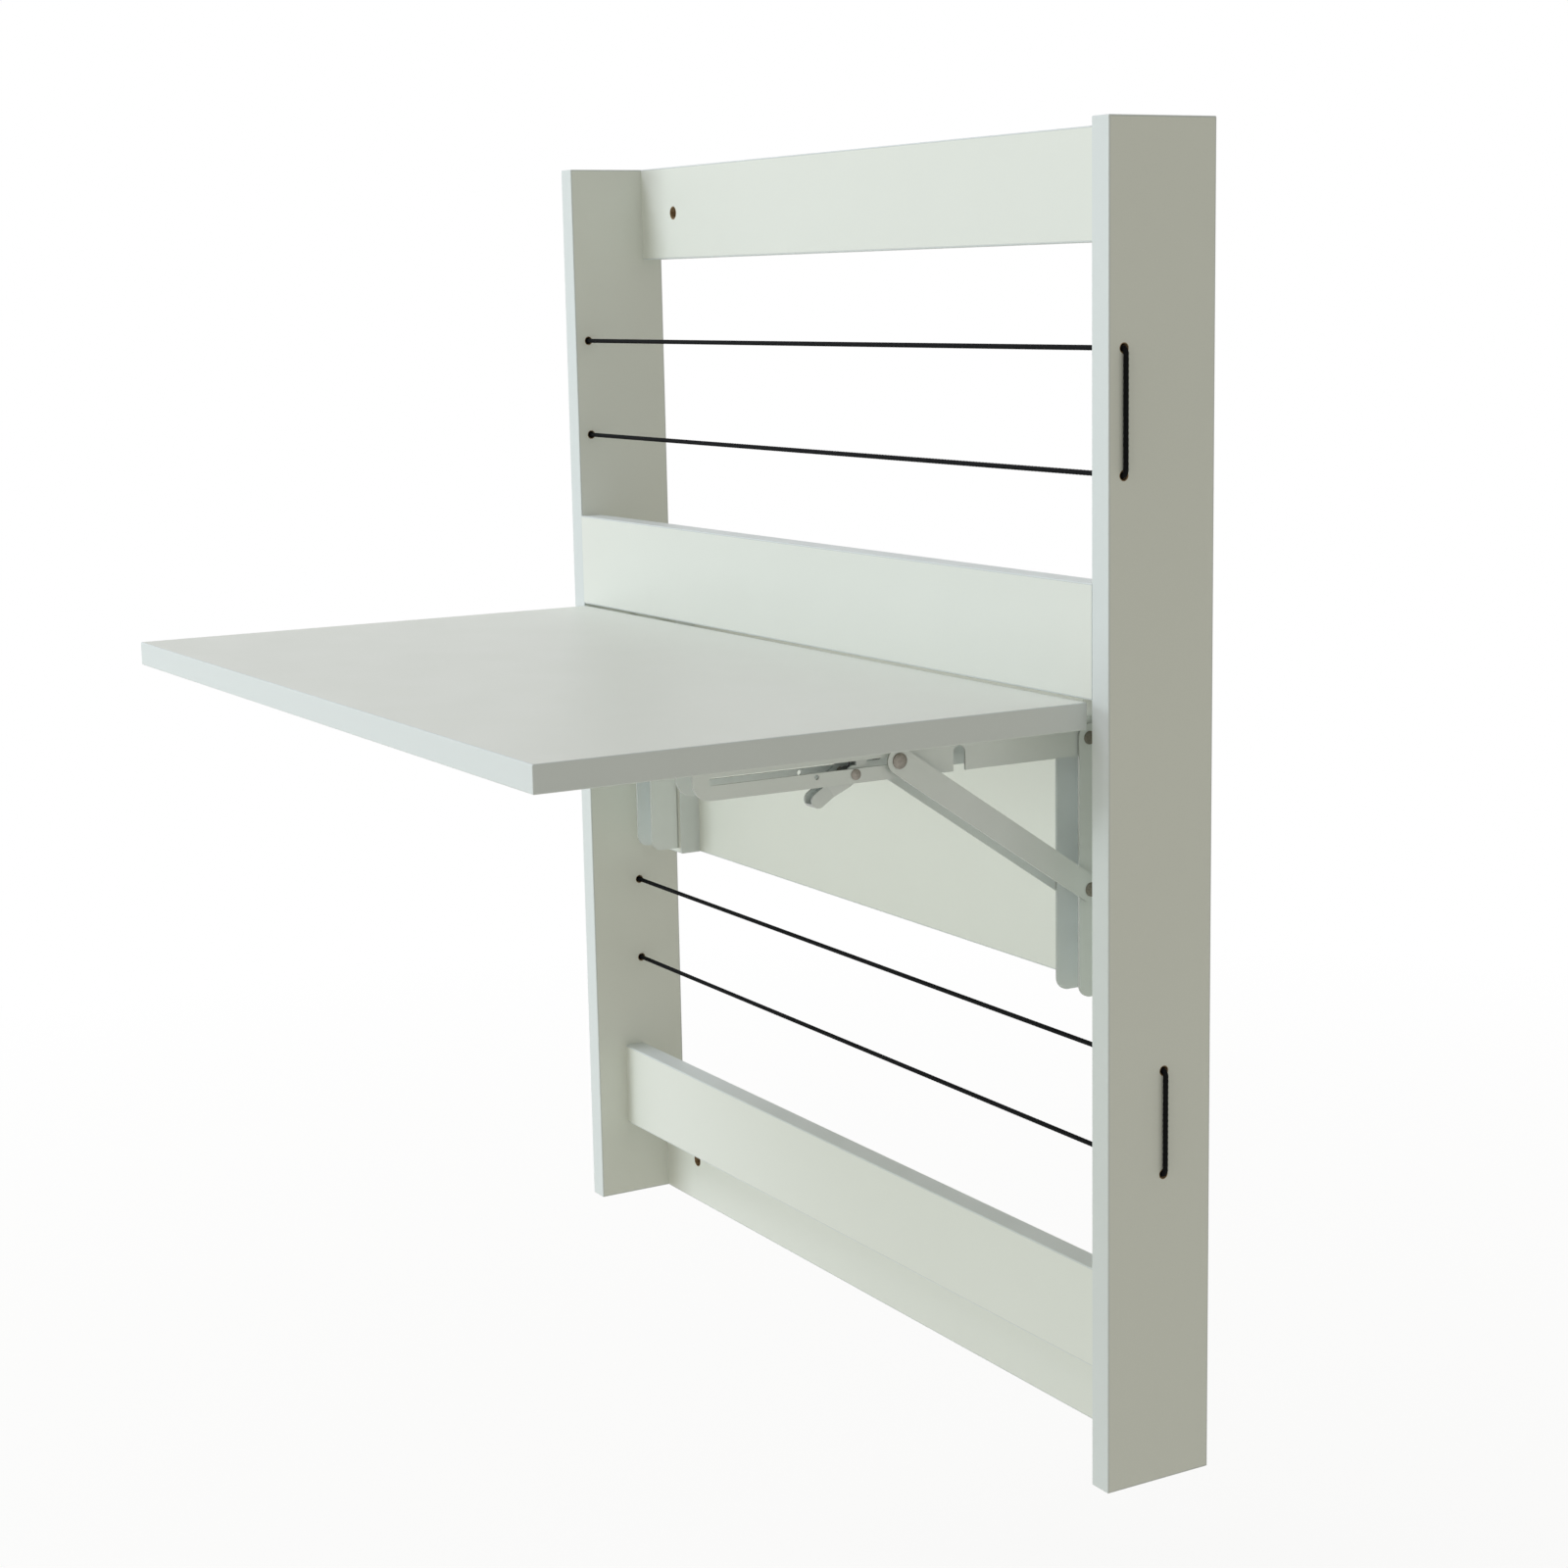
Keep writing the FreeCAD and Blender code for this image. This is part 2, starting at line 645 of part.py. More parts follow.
def domed_pin(x, half, y, z, radius, head, rise):
    """Pin across the bracket with a low domed head on each end, of radius head and height rise."""
    pin = rod_x(radius, x - half, x + half, y, z)
    for direction in (-1, 1):
        pin = pin.fuse(domed_head(vec(x + direction * half, y, z), vec(direction, 0, 0), head, rise))
    return pin


def slot_rivets(side):
    """Rivet of each bar's upper end: domed head outside, clinched end inside."""
    x = side * bracket_x
    foot_y, foot_z = arm_point(strut_foot, 0)
    clinch = bar_inside - arm_half - lever_head_height - rivet_recess
    rivets = []
    for direction in (-1, 1):
        points = (
            (bar_inside - clinch, 0),
            (bar_inside - clinch, clinch_radius - clinch_chamfer),
            (bar_inside, clinch_radius),
            (bar_inside, slot_rivet_radius),
            (bar_outside, slot_rivet_radius),
            (bar_outside, 0),
        )
        outward = vec(direction, 0, 0)
        shank = spin(points, vec(x, foot_y, foot_z), outward)
        seat = vec(x + direction * bar_outside, foot_y, foot_z)
        rivets.append(shank.fuse(domed_head(seat, outward, slot_head_radius, slot_head_height)))
    return rivets


def lever_lie():
    """The lever's length, its direction towards the tip and the one square to it, off the leaf."""
    reach = math.hypot(lever_tip_along, lever_tip_down)
    towards_tip = vec(0, -lever_tip_along / reach, -lever_tip_down / reach)
    outwards = vec(0, lever_tip_down / reach, -lever_tip_along / reach)
    return reach, towards_tip, outwards


def lever_block(x, half, tip_half):
    """Lever as a solid: hub, finger tip and catch nose, with the sides pinched towards the tip."""
    y, z = arm_point(lever_along, lever_pivot_drop)
    reach, towards_tip, outwards = lever_lie()
    x0, x1 = x - half, x + half
    plate = rod_x(lever_hub_radius, x0, x1, y, z)
    plate = plate.fuse(stadium(y, z, y - lever_tip_along, z - lever_tip_down, lever_tip_radius, x0, x1))
    nose_y = y + catch_offset
    nose_half = catch_width / 2
    corners = (
        (nose_y + nose_half, z - catch_root, 0), (nose_y - nose_half, z - catch_root, 0),
        (nose_y - nose_half, z + catch_rise, catch_radius),
        (nose_y + nose_half, z + catch_rise, catch_radius),
    )
    plate = plate.fuse(rounded_slab(corners, x0, x1)).removeSplitter()
    behind = catch_offset + catch_width + catch_rise
    beyond = reach + lever_tip_radius + overshoot
    widths = ((-behind, half), (lever_pinch_start, half), (lever_pinch_end, tip_half), (beyond, tip_half))
    start = vec(x, y, z) - outwards * behind
    outline = [start + towards_tip * along + vec(wide, 0, 0) for along, wide in widths]
    outline += [start + towards_tip * along - vec(wide, 0, 0) for along, wide in reversed(widths)]
    wedge = Part.Face(Part.makePolygon(outline + [outline[0]])).extrude(outwards * 2 * behind)
    return plate.common(wedge)


def release_lever(side):
    """Channel-shaped lever, open towards the leaf, that turns between the arm's flanges."""
    x = side * bracket_x
    y, z = arm_point(lever_along, lever_pivot_drop)
    _, _, outwards = lever_lie()
    hollow = lever_block(x, lever_half - lever_sheet, lever_tip_half - lever_sheet)
    hollow.translate(outwards * -lever_sheet)
    lever = lever_block(x, lever_half, lever_tip_half).cut(hollow)
    return lever.cut(rod_x(lever_rivet_radius + running_fit, x - lever_half - overshoot,
                           x + lever_half + overshoot, y, z))


def lever_spring(side):
    """Torsion spring on the lever rivet: one leg against the arm's web, one on the lever."""
    x = side * bracket_x
    y, z = arm_point(lever_along, lever_pivot_drop)
    wire_radius = spring_wire / 2
    turn_radius = lever_rivet_radius + running_fit + wire_radius
    first = x - (spring_turns - 1) * wire_radius
    last = x + (spring_turns - 1) * wire_radius
    rings = []
    for turn in range(spring_turns):
        centre = vec(first + turn * spring_wire, y, z)
        rings.append(Part.makeTorus(turn_radius, wire_radius + spring_overlap, centre, vec(1, 0, 0)))
    web_z = leaf_under - sheet - spring_gap
    upper_leg = rod_z(wire_radius, first, y + turn_radius, z, web_z)
    _, towards_tip, outwards = lever_lie()
    lower_leg = Part.makeCylinder(wire_radius, spring_foot, vec(last, y, z) + outwards * turn_radius,
                                  towards_tip)
    coil = rings[0].multiFuse(rings[1:] + [upper_leg, lower_leg])
    return coil.cut(rod_x(lever_rivet_radius + running_fit, x - leg_half, x + leg_half, y, z))


def brackets():
    hinge_pins, strut_pins, lever_rivets = [], [], []
    lever_y, lever_z = arm_point(lever_along, lever_pivot_drop)
    for name, side in sides:
        x = side * bracket_x
        write(name + "_leg_channel", leg_channel(side))
        write(name + "_arm_channel", arm_channel(side))
        write(name + "_strut_bars", strut_bars(side))
        write(name + "_slot_rivets", slot_rivets(side))
        write(name + "_release_lever", release_lever(side))
        write(name + "_lever_spring", lever_spring(side))
        hinge_pins.append(domed_pin(x, leg_half, hinge_y, hinge_z, pivot_radius,
                                    hinge_head_radius, hinge_head_height))
        strut_pins.append(domed_pin(x, bar_outside + pin_end_play, hinge_y, strut_pin_z, pivot_radius,
                                    strut_head_radius, strut_head_height))
        lever_rivets.append(domed_pin(x, arm_half, lever_y, lever_z, lever_rivet_radius,
                                      lever_head_radius, lever_head_height))
    write("hinge_pins", hinge_pins)
    write("strut_pivot_pins", strut_pins)
    write("lever_rivets", lever_rivets)


# ---- Cords --------------------------------------------------------------------------
def cord(y, z, spacing):
    """One cord: from its knot on the left, across, down the right outer face and back."""
    knot_x = -inner - board - cord_lift
    outer_x = inner + board + cord_lift + cord_radius
    bend_x = outer_x - cord_bend_radius
    low = z - spacing
    corner = cord_bend_radius * (1 - math.sqrt(0.5))
    edges = [
        Part.LineSegment(vec(knot_x, y, z), vec(bend_x, y, z)).toShape(),
        Part.Arc(vec(bend_x, y, z), vec(outer_x - corner, y, z - corner),
                 vec(outer_x, y, z - cord_bend_radius)).toShape(),
        Part.LineSegment(vec(outer_x, y, z - cord_bend_radius),
                         vec(outer_x, y, low + cord_bend_radius)).toShape(),
        Part.Arc(vec(outer_x, y, low + cord_bend_radius), vec(outer_x - corner, y, low + corner),
                 vec(bend_x, y, low)).toShape(),
        Part.LineSegment(vec(bend_x, y, low), vec(knot_x, y, low)).toShape(),
    ]
    path = Part.Wire(edges)
    section = Part.Wire([Part.makeCircle(cord_radius, vec(knot_x, y, z), vec(1, 0, 0))])
    tube = path.makePipeShell([section], True, False)
    expected = math.pi * cord_radius ** 2 * path.Length
    print("cord length", round(path.Length, 1), "bend radius", cord_bend_radius,
          "volume ratio", round(tube.Volume / expected, 5))
    return tube


def cord_knot(y, z):
    """Stopper knot on the left upright's outer face, with the cord's cut tail hanging."""
    face_x = -inner - board - cord_lift
    quarter = knot_length / 4
    points = ((0, 0), (0, knot_neck_radius), (quarter, knot_radius), (3 * quarter, knot_radius),
              (knot_length, knot_end_radius), (knot_length, 0))
    knot = spin(points, vec(face_x, y, z), vec(-1, 0, 0))
    return knot.fuse(rod_z(cord_radius, face_x - knot_length / 2, y, z - knot_tail, z))


def cords():
    for name, (y, z, spacing) in zip(("upper", "lower"), cord_places()):
        write(name + "_cord", cord(y, z, spacing))
        write(name + "_cord_knots", [cord_knot(y, z), cord_knot(y, z - spacing)])


wooden_frame()
fittings()
screws()
leaf()
brackets()
cords()
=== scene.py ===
# %% [markdown]
# # A wall table with a folding leaf, dressed for the studio
# A construction model already holds every board, bracket and screw at its real size. This
# lesson loads it as a fixed frame and gives each piece its finish, then adds the two elastic
# cords, which a construction model only shows as plain tubes. Units are metres, +Z is up, the
# wall is the plane y = 0 and the table looks towards -Y.

# %% Load the frame
import json
import math

import bpy
from mathutils import Matrix, Vector


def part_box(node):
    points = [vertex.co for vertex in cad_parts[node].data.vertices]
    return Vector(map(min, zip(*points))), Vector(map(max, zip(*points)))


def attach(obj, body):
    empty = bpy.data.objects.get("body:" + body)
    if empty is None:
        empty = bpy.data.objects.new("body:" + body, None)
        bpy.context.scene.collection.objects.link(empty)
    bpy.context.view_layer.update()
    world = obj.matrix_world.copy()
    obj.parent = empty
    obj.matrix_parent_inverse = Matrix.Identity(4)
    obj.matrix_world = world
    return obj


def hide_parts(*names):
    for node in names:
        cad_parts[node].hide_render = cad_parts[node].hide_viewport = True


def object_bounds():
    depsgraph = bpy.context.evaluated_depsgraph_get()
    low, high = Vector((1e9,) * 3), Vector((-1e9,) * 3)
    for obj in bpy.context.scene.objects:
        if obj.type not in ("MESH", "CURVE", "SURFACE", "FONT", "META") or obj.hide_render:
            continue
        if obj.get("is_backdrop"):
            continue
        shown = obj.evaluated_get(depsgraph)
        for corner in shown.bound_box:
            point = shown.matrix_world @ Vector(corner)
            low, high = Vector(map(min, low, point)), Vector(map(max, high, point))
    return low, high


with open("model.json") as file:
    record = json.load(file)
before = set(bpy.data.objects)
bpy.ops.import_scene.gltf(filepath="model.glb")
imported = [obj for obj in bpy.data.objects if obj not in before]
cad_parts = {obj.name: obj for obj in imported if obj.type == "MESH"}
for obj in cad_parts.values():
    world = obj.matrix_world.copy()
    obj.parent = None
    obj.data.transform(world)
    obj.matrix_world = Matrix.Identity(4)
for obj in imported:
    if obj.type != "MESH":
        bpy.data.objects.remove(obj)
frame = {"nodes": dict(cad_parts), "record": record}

cad_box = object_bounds()
nodes = frame["nodes"]
print("pieces in the frame:", len(nodes))
print("size in mm:", [round(1000 * side) for side in cad_box[1] - cad_box[0]])

# %% [markdown]
# ## The camera
# A camera needs a place, a direction and a lens. The eye stands to the right of the table, a
# little above the middle, and looks down by ten degrees. The two angles and a slight roll make
# three directions at right angles (right, up and forward), and those are the columns of the
# camera's matrix. Building the matrix by hand keeps the angles readable, where a tracking
# constraint would hide them.

# %% Camera
eye = Vector((1.60147, -1.02432, 0.31014))
eye_azimuth = math.radians(59.740)      # turned left from looking along +Y
eye_elevation = math.radians(-10.034)
eye_roll = math.radians(-1.133)
lens_mm = 64.385
sensor_mm = 36.0


def camera_matrix(place, azimuth, elevation, roll):
    """The matrix of a camera that stands at place and looks along the two angles."""
    forward = Vector((-math.sin(azimuth) * math.cos(elevation),
                      math.cos(azimuth) * math.cos(elevation), math.sin(elevation)))
    level = Vector((math.cos(azimuth), math.sin(azimuth), 0))
    upright = level.cross(forward)
    right = level * math.cos(roll) + upright * math.sin(roll)
    up = upright * math.cos(roll) - level * math.sin(roll)
    columns = Matrix((right, up, -forward)).transposed().to_4x4()
    return Matrix.Translation(place) @ columns


camera_data = bpy.data.cameras.new("studio_camera")
camera_data.lens = lens_mm
camera_data.sensor_width = sensor_mm
camera = bpy.data.objects.new("studio_camera", camera_data)
bpy.context.scene.collection.objects.link(camera)
camera.matrix_world = camera_matrix(eye, eye_azimuth, eye_elevation, eye_roll)
bpy.context.scene.camera = camera
print("eye to the frame's front, mm:", round(1000 * (eye.y - cad_box[0].y)), "and to its side",
      round(1000 * (eye.x - cad_box[1].x)))

# %% [markdown]
# ## A few words for making node materials
# Every finish below is a small network of nodes. Writing `new`, `link` and `default_value` for
# each one would bury the idea under typing, so a few helpers come first. Each one adds a node
# to a tree and returns its output, so that a finish reads like a sum: noise of this size,
# spread over that range, into the roughness.

# %% Node helpers
def plug(tree, socket, value):
    """Fills a socket: another socket is linked to it, and a number or colour is set on it."""
    if isinstance(value, bpy.types.NodeSocket):
        tree.links.new(value, socket)
    elif socket.type == "RGBA" and len(value) == 3:
        socket.default_value = (*value, 1.0)
    else:
        socket.default_value = value


def calc(tree, operation, *values):
    """One sum, such as ADD or LESS_THAN, on numbers or sockets."""
    made = tree.nodes.new("ShaderNodeMath")
    made.operation = operation
    for socket, value in zip(made.inputs, values):
        plug(tree, socket, value)
    return made.outputs[0]


def mixed(tree, share, first, second):
    """The first colour where share is 0, the second where it is 1."""
    made = tree.nodes.new("ShaderNodeMix")
    made.data_type = "RGBA"
    # such a node keeps its two colours in inputs 6 and 7, and the mixed one in output 2
    for index, value in ((0, share), (6, first), (7, second)):
        plug(tree, made.inputs[index], value)
    return made.outputs[2]


def spread(tree, value, low, high, start=0.0, end=1.0):
    """Start where value is low, end where it is high, and an even run in between."""
    made = tree.nodes.new("ShaderNodeMapRange")
    for socket, number in zip(made.inputs, (value, low, high, start, end)):
        plug(tree, socket, number)
    return made.outputs[0]


def split(tree, vector):
    """The X, Y and Z of a vector, each as a number."""
    made = tree.nodes.new("ShaderNodeSeparateXYZ")
    plug(tree, made.inputs[0], vector)
    return made.outputs


print("helpers ready: plug, calc, mixed, spread, split")

# %% [markdown]
# ## Noise
# Real surfaces vary at several scales at once: a board is a shade darker here and there over a
# hand's width, and its foil has a grain of less than a millimetre. Noise makes both. Its scale
# is written as the size of a patch in metres, because that can be checked against the object.
# Most of a soft noise lies in the middle of its range, so it is spread out before it is used.

# %% Noise
noise_low, noise_high = 0.3, 0.7        # soft noise seldom leaves this range


def place_of(tree):
    """Where on the piece a point lies, in metres; it stays with the piece when it moves."""
    return tree.nodes.new("ShaderNodeTexCoord").outputs["Object"]


def noise(tree, place, patch, detail=2.0):
    """Soft random values from 0 to 1 in patches of about this size in metres."""
    made = tree.nodes.new("ShaderNodeTexNoise")
    plug(tree, made.inputs["Vector"], place)
    made.inputs["Scale"].default_value = 1.0 / patch
    made.inputs["Detail"].default_value = detail
    return made.outputs[0]


def patches(tree, patch, start=0.0, end=1.0, detail=2.0):
    """Noise on the piece, spread so that it runs from start to end."""
    return spread(tree, noise(tree, place_of(tree), patch, detail), noise_low, noise_high, start, end)


def mottled(tree, colour, shade, patch, detail=3.0):
    """The colour, dimmed in soft patches to the share of itself that shade gives."""
    dimmed = tuple(shade * part for part in colour)
    return mixed(tree, patches(tree, patch, detail=detail), dimmed, colour)


print("helpers ready: place_of, noise, patches, mottled")

# %% [markdown]
# ## From nodes to a finish
# A finish is three small networks, for colour, roughness and relief, plugged into one shader.
# For the relief a bump node turns fine noise into slopes that only bend the light. Whatever is
# the same all over a piece, such as how metallic it is, is set on the shader as a plain number.
# The construction model's pieces come with a stand-in material, which the finish replaces.

# %% Finishes
def relief(tree, height, depth):
    """A bump; depth is what a height of 1 stands for, in metres."""
    made = tree.nodes.new("ShaderNodeBump")
    made.inputs["Distance"].default_value = depth
    plug(tree, made.inputs["Height"], height)
    return made.outputs[0]


def finish(name, colour, roughness, normal, **plain):
    """A material: colour, roughness and relief come from nodes, the rest are plain numbers."""
    material = bpy.data.materials.new(name)
    material.use_nodes = True
    shader = material.node_tree.nodes["Principled BSDF"]
    for socket, make in (("Base Color", colour), ("Roughness", roughness), ("Normal", normal)):
        plug(material.node_tree, shader.inputs[socket], make(material.node_tree))
    for socket, value in plain.items():
        plug(material.node_tree, shader.inputs[socket.replace("_", " ")], value)
    return material


def dress(material, *names):
    """Gives CAD pieces a material instead of the one they came with."""
    for name in names:
        nodes[name].data.materials.clear()
        nodes[name].data.materials.append(material)


print("helpers ready: relief, finish, dress")

# %% [markdown]
# ## The floor
# The table hangs on a wall, with its leaf at sitting height, so the floor lies 750 mm below the
# leaf's top. A disc with a fine rim is enough. It is pale, and for the camera it is mixed with
# plain white, more so farther away, so that it runs into the background with no horizon and
# still carries a soft shadow. Mirror rays see it the same way, or metal would show a grey room.

# %% Floor disc
sitting_height = 0.75
floor_radius = 14.0
floor_sides = 96
floor_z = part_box("leaf")[1].z - sitting_height


def disc_mesh(name, radius, sides, z):
    """A flat disc as one face."""
    turn = 2 * math.pi / sides
    rim = [(radius * math.cos(turn * step), radius * math.sin(turn * step), z)
           for step in range(sides)]
    made = bpy.data.meshes.new(name)
    made.from_pydata(rim, [], [list(range(sides))])
    return made


floor = bpy.data.objects.new("floor", disc_mesh("floor", floor_radius, floor_sides, floor_z))
bpy.context.scene.collection.objects.link(floor)
floor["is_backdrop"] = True
print("floor at z =", round(floor_z, 4), "m")

# %% Floor paint
floor_paint_colour = (0.88, 0.85, 0.76)  # pale and a little warm
floor_shade = 0.98                      # its darker clouds, as a share of that colour
floor_cloud = 0.3                       # size of a cloud, in metres
floor_roughness = 0.9
near_share, far_share = 0.90, 1.0       # how much plain white the eye sees, near and far
near_distance, far_distance = 0.7, 2.4


def mixed_shaders(tree, share, first, second):
    """The first shader where share is 0, the second where it is 1."""
    made = tree.nodes.new("ShaderNodeMixShader")
    for socket, value in zip(made.inputs, (share, first, second)):
        plug(tree, socket, value)
    return made.outputs[0]


def seen_directly(tree):
    """1 for the rays that should find a white background: from the eye, a mirror or glass."""
    path = tree.nodes.new("ShaderNodeLightPath").outputs
    mirror = calc(tree, "MAXIMUM", path["Is Glossy Ray"], path["Is Transmission Ray"])
    return calc(tree, "MAXIMUM", path["Is Camera Ray"], mirror)


def whiteness(tree):
    """How much plain white the floor shows at a distance from the table."""
    away = tree.nodes.new("ShaderNodeVectorMath")
    away.operation = "LENGTH"
    plug(tree, away.inputs[0], place_of(tree))
    share = spread(tree, away.outputs["Value"], near_distance, far_distance, near_share, far_share)
    return calc(tree, "MULTIPLY", share, seen_directly(tree))


def floor_paint():
    """Matt pale paint, a little cloudy, that fades to plain white for the eye."""
    material = bpy.data.materials.new("floor_paint")
    material.use_nodes = True
    tree = material.node_tree
    paint = tree.nodes["Principled BSDF"]
    plug(tree, paint.inputs["Base Color"],
         mottled(tree, floor_paint_colour, floor_shade, floor_cloud, detail=2.0))
    plug(tree, paint.inputs["Roughness"], floor_roughness)
    white = tree.nodes.new("ShaderNodeEmission")
    surface = mixed_shaders(tree, whiteness(tree), paint.outputs[0], white.outputs[0])
    plug(tree, tree.nodes["Material Output"].inputs["Surface"], surface)
    return material


floor.data.materials.append(floor_paint())
print("floor all white beyond", far_distance, "m")

# %% [markdown]
# ## Daylight from all round
# The world does two jobs. For the eye it is plain white, which is the background. For the
# pieces it is a soft, slightly warm light from every side, like a room with pale walls, which
# fills the shaded faces. One light-path switch keeps the two apart, so that a whiter background
# never means more light on the table.

# %% World
ambient_colour = (1.0, 0.985, 0.895)
ambient_strength = 0.415
plain_white = (1.0, 1.0, 1.0)
world = bpy.data.worlds.new("studio")
bpy.context.scene.world = world
world.use_nodes = True
world_tree = world.node_tree
ambient = world_tree.nodes["Background"]
plug(world_tree, ambient.inputs["Color"], ambient_colour)
plug(world_tree, ambient.inputs["Strength"], ambient_strength)
backdrop = world_tree.nodes.new("ShaderNodeBackground")
plug(world_tree, backdrop.inputs["Color"], plain_white)
surround = mixed_shaders(world_tree, seen_directly(world_tree), ambient.outputs[0], backdrop.outputs[0])
plug(world_tree, world_tree.nodes["World Output"].inputs["Surface"], surround)
bpy.context.scene.view_settings.view_transform = "Standard"
print("ambient strength", ambient_strength)

# %% [markdown]
# ## Two soft lamps
# The main light comes from high in front and from the left: it lights the leaf's top and the
# upper boards. A second lamp stands lower on the same side and lights all that looks forwards,
# also the panel under the leaf. Together they make the fronts the brightest and the leaf's top
# nearly so, every face that looks to the right lies in even shade, and the left upright throws a
# soft shade on the ends of the rails behind it. Lamps as wide as windows, a few metres away, give
# soft shadows and an even light from top to bottom.

# %% Lamps
lamp_aim = (0.0, -0.1, 0.0)
lamps = {
    #               place               width  height  watts  colour
    "window_lamp": ((-2.3, -3.2, 4.6),  3.0,   3.0,    131.0, (0.840, 0.860, 0.99)),
    "front_lamp":  ((-2.2, -4.7, 0.3),  2.4,   1.6,    78.0,  (0.860, 0.955, 1.0)),
}


def soft_lamp(name, place, width, height, watts, colour):
    """A rectangular lamp that faces the table."""
    lamp = bpy.data.lights.new(name, "AREA")
    lamp.shape = "RECTANGLE"
    lamp.size, lamp.size_y = width, height
    lamp.energy = watts
    lamp.color = colour
    holder = bpy.data.objects.new(name, lamp)
    bpy.context.scene.collection.objects.link(holder)
    holder.location = place
    holder.rotation_euler = (Vector(lamp_aim) - Vector(place)).to_track_quat("-Z", "Y").to_euler()


for name, numbers in lamps.items():
    soft_lamp(name, *numbers)
print("lamps:", ", ".join(lamps))

# %% [markdown]
# ## The boards: foil, edge band and raw core
# Each board is pressed wood chips, covered with a white foil on its two faces and with a band
# glued along its edges. The band is a different plastic, a shade bluer, and where it meets the
# foil a hairline of glue shows about a millimetre in from the edge. In a drilled hole the brown
# core is bare. All of this depends only on where a point lies on the board, so one function
# works it out from the board's own box: the thinnest side says which way the faces look, and the
# distance to the nearest edge says where the band ends. Painting it by hand would need a
# picture for each board.

# %% Where the band lies
foil_white = (0.790, 0.818, 0.758)
band_white = (0.705, 0.752, 0.745)
glue_grey = (0.50, 0.51, 0.47)
core_brown = (0.24, 0.15, 0.075)
core_straw = (0.50, 0.37, 0.22)
band_thickness = 0.0009
glue_width = 0.00016
face_share = 0.75                       # how squarely a face looks along the thin side


def thin_side(low, high):
    """Index of the axis along which a board is thinnest."""
    return min(range(3), key=lambda axis: high[axis] - low[axis])


def from_edge(tree, point, low, high, axes):
    """Distance in metres to the nearest banded edge."""
    nearest = None
    for axis in axes:
        middle, half = (low[axis] + high[axis]) / 2, (high[axis] - low[axis]) / 2
        offset = calc(tree, "ABSOLUTE", calc(tree, "SUBTRACT", point[axis], middle))
        gap = calc(tree, "SUBTRACT", half, offset)
        nearest = gap if nearest is None else calc(tree, "MINIMUM", nearest, gap)
    return nearest


def looks_sideways(tree, axis):
    """1 where a surface looks away from an axis, as a board's narrow edges do, else 0."""
    normal = split(tree, tree.nodes.new("ShaderNodeTexCoord").outputs["Normal"])
    return calc(tree, "LESS_THAN", calc(tree, "ABSOLUTE", normal[axis]), face_share)


# %% [markdown]
# ## Holes that show the core
# A point belongs to a hole when it lies no farther from the hole's axis than its radius and a
# narrow rim, where the drill has chipped the foil. The wall screws' axes come from the mount in
# the record, and those of the cord holes from the boxes of the two cords.

# %% Holes
chipped_rim = 0.00035                   # foil broken away round a hole
wall_pattern = next(m for m in frame["record"]["mounts"] if m["name"] == "wall_screws")["dims"]
wall_hole = (wall_pattern["hole_r_mm"] / 1000, 1)
cord_radius = 0.0016
cord_hole_radius = 0.0028
cord_names = ("upper_cord", "lower_cord")
screw_x, screw_z = wall_pattern["spacing_x_mm"] / 2000, wall_pattern["spacing_y_mm"] / 2000


def cord_levels(name):
    """Where a cord's two runs lie: distance from the wall, upper height and lower height."""
    low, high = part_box(name)
    return (low.y + high.y) / 2, high.z - cord_radius, low.z + cord_radius


def holes_in(name):
    """The holes of a board: (radius, axis, centre)."""
    if name in ("top_rail", "bottom_rail"):
        level = screw_z if name == "top_rail" else -screw_z
        return [(*wall_hole, (side * screw_x, 0, level)) for side in (-1, 1)]
    if name.endswith("upright"):
        cords = [cord_levels(cord) for cord in cord_names]
        return [(cord_hole_radius, 0, (0, y, z)) for y, *levels in cords for z in levels]
    return []


def in_hole(tree, point, radius, axis, centre):
    """1 inside a round hole along an axis, 0 elsewhere."""
    squares = []
    for other in range(3):
        if other != axis:
            offset = calc(tree, "SUBTRACT", point[other], centre[other])
            squares.append(calc(tree, "MULTIPLY", offset, offset))
    distance = calc(tree, "SQRT", calc(tree, "ADD", *squares))
    return calc(tree, "LESS_THAN", distance, radius + chipped_rim)


print("holes in the left upright:", len(holes_in("left_upright")))

# %% [markdown]
# ## One finish for each board
# The foil is not quite even: a slow cloudiness of one or two percent, a fine dull grain and a
# gloss that changes from place to place keep a large white face from looking like paper. The
# raw core is a mosaic of chips, for which a cell pattern fits better than noise.

# %% Foil, band and glue
foil_cloud = 0.16                       # sizes of the patches, in metres
foil_grain = 0.0007
foil_shade = 0.985                      # the foil's darker clouds, as a share of its colour
speck_low, speck_high = 0.35, 0.75      # the part of the grain's range that greys the foil
speck_share = 0.05                      # by how much, at most


def unbroken_surface(tree, grain, edge, sideways):
    """The colour of a whole surface: foil on the faces, the band round them, glue between."""
    band = calc(tree, "MAXIMUM", sideways, calc(tree, "LESS_THAN", edge, band_thickness))
    glue = calc(tree, "MULTIPLY", calc(tree, "GREATER_THAN", edge, band_thickness),
                calc(tree, "LESS_THAN", edge, band_thickness + glue_width))
    foil = mottled(tree, foil_white, foil_shade, foil_cloud)
    foil = mixed(tree, spread(tree, grain, speck_low, speck_high, 0.0, speck_share), foil, glue_grey)
    return mixed(tree, glue, mixed(tree, band, foil, band_white), glue_grey)


print("foil grain, mm:", 1000 * foil_grain)

# %% Bare core
chip_size = 0.0016
chip_depth = 0.0005
core_roughness = 0.85


